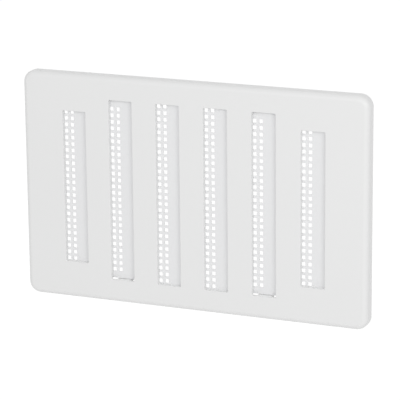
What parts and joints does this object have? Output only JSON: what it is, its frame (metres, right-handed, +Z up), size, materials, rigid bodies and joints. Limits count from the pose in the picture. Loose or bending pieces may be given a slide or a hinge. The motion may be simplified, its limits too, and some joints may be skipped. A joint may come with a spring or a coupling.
{
  "type": "hit and miss vent",
  "caption": "White plastic wall vent whose slotted cover slides sideways over a back plate with insect mesh, to open or shut the air slots.",
  "frame": {"origin": "middle of the back plate's lower edge, on the wall", "axes": "+X to the viewer's right, +Y into the wall, +Z up"},
  "size_m": [0.26, 0.01, 0.165],
  "materials": {
    "cover_plastic": "satin moulded white plastic",
    "plate_plastic": "satin moulded white plastic"
  },
  "bodies": {
    "back": {"back_plate": "plate_plastic"},
    "cover": {"front_cover": "cover_plastic"}
  },
  "joints": [
    {"name": "cover_slide", "type": "slide", "parent": "back", "child": "cover", "axis": [1, 0, 0], "range_m": [-0.0103, 0.0077]}
  ]
}
